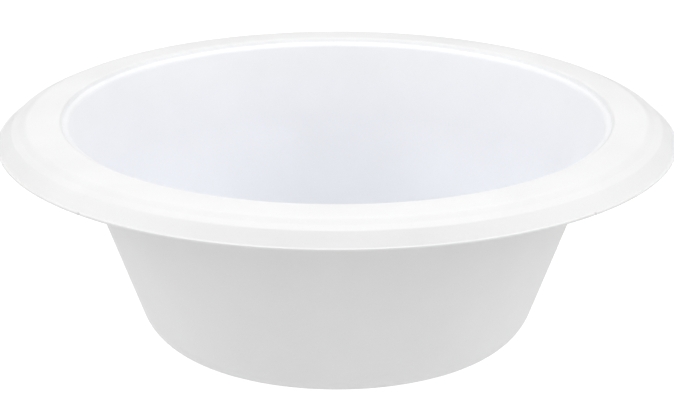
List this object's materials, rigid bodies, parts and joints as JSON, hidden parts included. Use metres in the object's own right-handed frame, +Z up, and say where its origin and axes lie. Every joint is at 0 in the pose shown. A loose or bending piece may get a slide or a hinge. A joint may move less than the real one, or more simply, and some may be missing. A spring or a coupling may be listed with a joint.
{
  "type": "bedpan",
  "caption": "Round one-piece white bedpan: a thin bowl with a sloping wall, a broad seat flange, a downturned skirt and a flat lip.",
  "frame": {"origin": "centre of the foot, on the floor plane the pan stands on", "axes": "+Z up along the axis the pan is turned about; X and Y are free, with a trim notch midway between each pair of axes"},
  "size_m": [0.328, 0.328, 0.112],
  "materials": {
    "white_plastic": "satin, smooth moulded"
  },
  "bodies": {
    "root": {"pan_shell": "white_plastic"}
  },
  "joints": []
}
